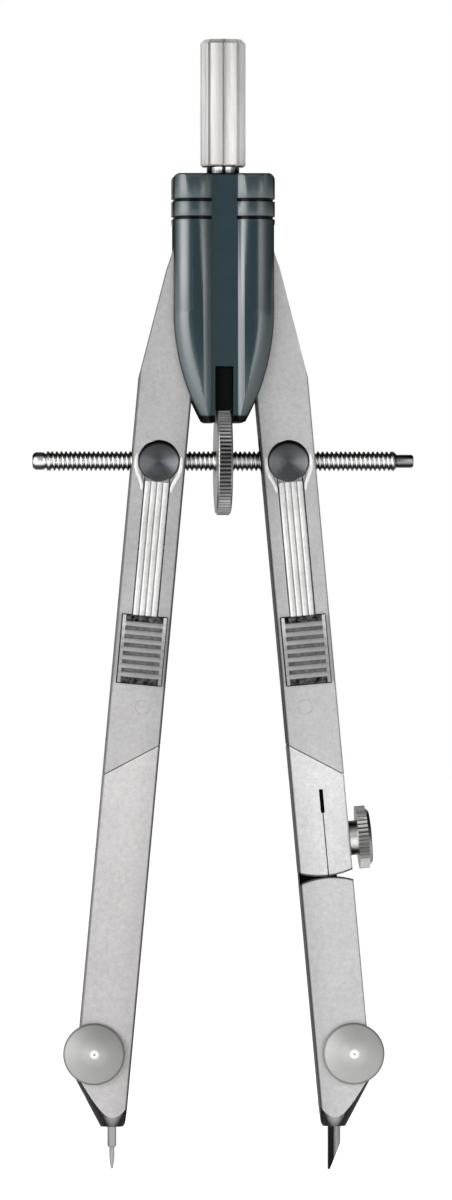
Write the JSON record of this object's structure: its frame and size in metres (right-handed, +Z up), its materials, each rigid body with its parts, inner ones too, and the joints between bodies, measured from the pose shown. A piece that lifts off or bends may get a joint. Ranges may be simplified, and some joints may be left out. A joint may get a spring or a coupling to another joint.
{
  "type": "bow compass",
  "caption": "Drawing compass with geared legs, a centre-wheel spindle with quick-release half nuts, jointed knees, a needle point and a plug-in lead insert.",
  "frame": {"origin": "midway between the needle point and the lead's tip, on the drawing surface", "axes": "+X to the lead's side, +Y to the back, +Z up to the handle"},
  "size_m": [0.0582, 0.0164, 0.1724],
  "materials": {
    "polished_steel": "polished, fine turned lines",
    "dark_plastic": "semi-gloss moulded, dark blue-green",
    "satin_nickel": "satin nickel plate",
    "dark_steel": "turned, dark",
    "graphite": "compressed graphite, slight sheen",
    "black_felt": "dense felt"
  },
  "bodies": {
    "head": {"handle": "polished_steel", "handle_stud": "dark_steel", "head_cover": "dark_plastic", "yoke": "dark_steel", "slot_felt": "black_felt", "left_pivot_pin": "dark_steel", "right_pivot_pin": "dark_steel"},
    "spindle": {"spindle": "dark_steel"},
    "wheel": {"adjusting_wheel": "dark_steel"},
    "needle_leg": {"needle_leg": "satin_nickel"},
    "needle": {"needle": "polished_steel"},
    "needle_screw": {"needle_clamp_screw": "satin_nickel"},
    "socket_leg": {"socket_leg": "satin_nickel"},
    "socket_screw": {"socket_screw": "satin_nickel"},
    "insert": {"lead_insert": "satin_nickel"},
    "lead": {"lead": "graphite"},
    "lead_screw": {"lead_clamp_screw": "satin_nickel"},
    "left_leg": {"left_upper_leg": "satin_nickel", "left_lever_pin": "dark_steel", "left_lever_spring": "dark_steel", "left_knee_pin": "dark_steel"},
    "left_swivel": {"left_spindle_bush": "dark_steel"},
    "left_nut": {"left_half_nut": "dark_steel"},
    "left_lever": {"left_release_lever": "satin_nickel"},
    "right_leg": {"right_upper_leg": "satin_nickel", "right_lever_pin": "dark_steel", "right_lever_spring": "dark_steel", "right_knee_pin": "dark_steel"},
    "right_swivel": {"right_spindle_bush": "dark_steel"},
    "right_nut": {"right_half_nut": "dark_steel"},
    "right_lever": {"right_release_lever": "satin_nickel"}
  },
  "joints": [
    {"name": "spindle_slide", "type": "slide", "parent": "left_swivel", "child": "spindle", "axis": [1, 0, 0], "range_m": [-0.00297, 0.01212]},
    {"name": "wheel_spin", "type": "hinge", "parent": "spindle", "child": "wheel", "pos_m": [0, 0, 0.1081], "axis": [1, 0, 0], "range_deg": [-1528.35, 6230.98]},
    {"name": "left_leg_swing", "type": "hinge", "parent": "head", "child": "left_leg", "pos_m": [-0.003, 0, 0.14252], "axis": [0, 1, 0], "range_deg": [-5, 21], "deforming": ["slot_felt"]},
    {"name": "left_swivel_turn", "type": "hinge", "parent": "left_leg", "child": "left_swivel", "pos_m": [-0.00989, 0, 0.1081], "axis": [0, -1, 0], "range_deg": [-5.2, 21.2]},
    {"name": "left_nut_lift", "type": "slide", "parent": "left_swivel", "child": "left_nut", "axis": [0, -1, 0], "range_m": [0, 0.0005603], "deforming": ["left_lever_spring"]},
    {"name": "left_lever_press", "type": "hinge", "parent": "left_leg", "child": "left_lever", "pos_m": [-0.01107, -0.00145, 0.09506], "axis": [0.9959, 0, -0.0906], "range_deg": [-0.05, 3.05], "stiffness_Nm_per_rad": 0.5, "springref_deg": -2.86, "deforming": ["left_lever_spring"]},
    {"name": "left_knee_bend", "type": "hinge", "parent": "left_leg", "child": "needle_leg", "pos_m": [-0.0124, 0, 0.07058], "axis": [0, -1, 0], "range_deg": [0, 24]},
    {"name": "right_leg_swing", "type": "hinge", "parent": "head", "child": "right_leg", "pos_m": [0.003, 0, 0.14252], "axis": [0, -1, 0], "range_deg": [-5.2, 21.2]},
    {"name": "right_swivel_turn", "type": "hinge", "parent": "right_leg", "child": "right_swivel", "pos_m": [0.00989, 0, 0.1081], "axis": [0, 1, 0], "range_deg": [-5.2, 21.2]},
    {"name": "right_nut_lift", "type": "slide", "parent": "right_swivel", "child": "right_nut", "axis": [0, -1, 0], "range_m": [0, 0.0005603], "deforming": ["right_lever_spring"]},
    {"name": "right_lever_press", "type": "hinge", "parent": "right_leg", "child": "right_lever", "pos_m": [0.01107, -0.00145, 0.09506], "axis": [0.9959, 0, 0.0906], "range_deg": [-0.05, 3.05], "stiffness_Nm_per_rad": 0.5, "springref_deg": -2.86, "deforming": ["right_lever_spring"]},
    {"name": "right_knee_bend", "type": "hinge", "parent": "right_leg", "child": "socket_leg", "pos_m": [0.0124, 0, 0.07058], "axis": [0, 1, 0], "range_deg": [0, 24]},
    {"name": "needle_slide", "type": "slide", "parent": "needle_leg", "child": "needle", "axis": [0, 0, 1], "range_m": [-0.003, 0.003]},
    {"name": "needle_screw_turn", "type": "hinge", "parent": "needle_leg", "child": "needle_screw", "pos_m": [-0.01982, 0, 0.01773], "axis": [0, -1, 0], "range_deg": [0, 360]},
    {"name": "socket_screw_turn", "type": "hinge", "parent": "socket_leg", "child": "socket_screw", "pos_m": [0.01925, 0, 0.05051], "axis": [0.9959, 0, 0.0906], "range_deg": [0, 360]},
    {"name": "insert_pull", "type": "slide", "parent": "socket_leg", "child": "insert", "axis": [0.0906, 0, -0.9959], "range_m": [0, 0.01]},
    {"name": "lead_slide", "type": "slide", "parent": "insert", "child": "lead", "axis": [0, 0, 1], "range_m": [-0.003, 0.003]},
    {"name": "lead_screw_turn", "type": "hinge", "parent": "insert", "child": "lead_screw", "pos_m": [0.01982, 0, 0.01773], "axis": [0, -1, 0], "range_deg": [0, 360]}
  ],
  "couplings": [
    {"joint": "spindle_slide", "follows": "left_leg_swing", "m_per_rad": 0.032745},
    {"joint": "wheel_spin", "follows": "left_leg_swing", "ratio": 293.91},
    {"joint": "right_leg_swing", "follows": "left_leg_swing", "ratio": 1},
    {"joint": "left_swivel_turn", "follows": "left_leg_swing", "ratio": 1},
    {"joint": "left_lever_press", "follows": "left_nut_lift", "rad_per_m": 93.458},
    {"joint": "right_swivel_turn", "follows": "left_leg_swing", "ratio": 1},
    {"joint": "right_lever_press", "follows": "right_nut_lift", "rad_per_m": 93.458}
  ]
}
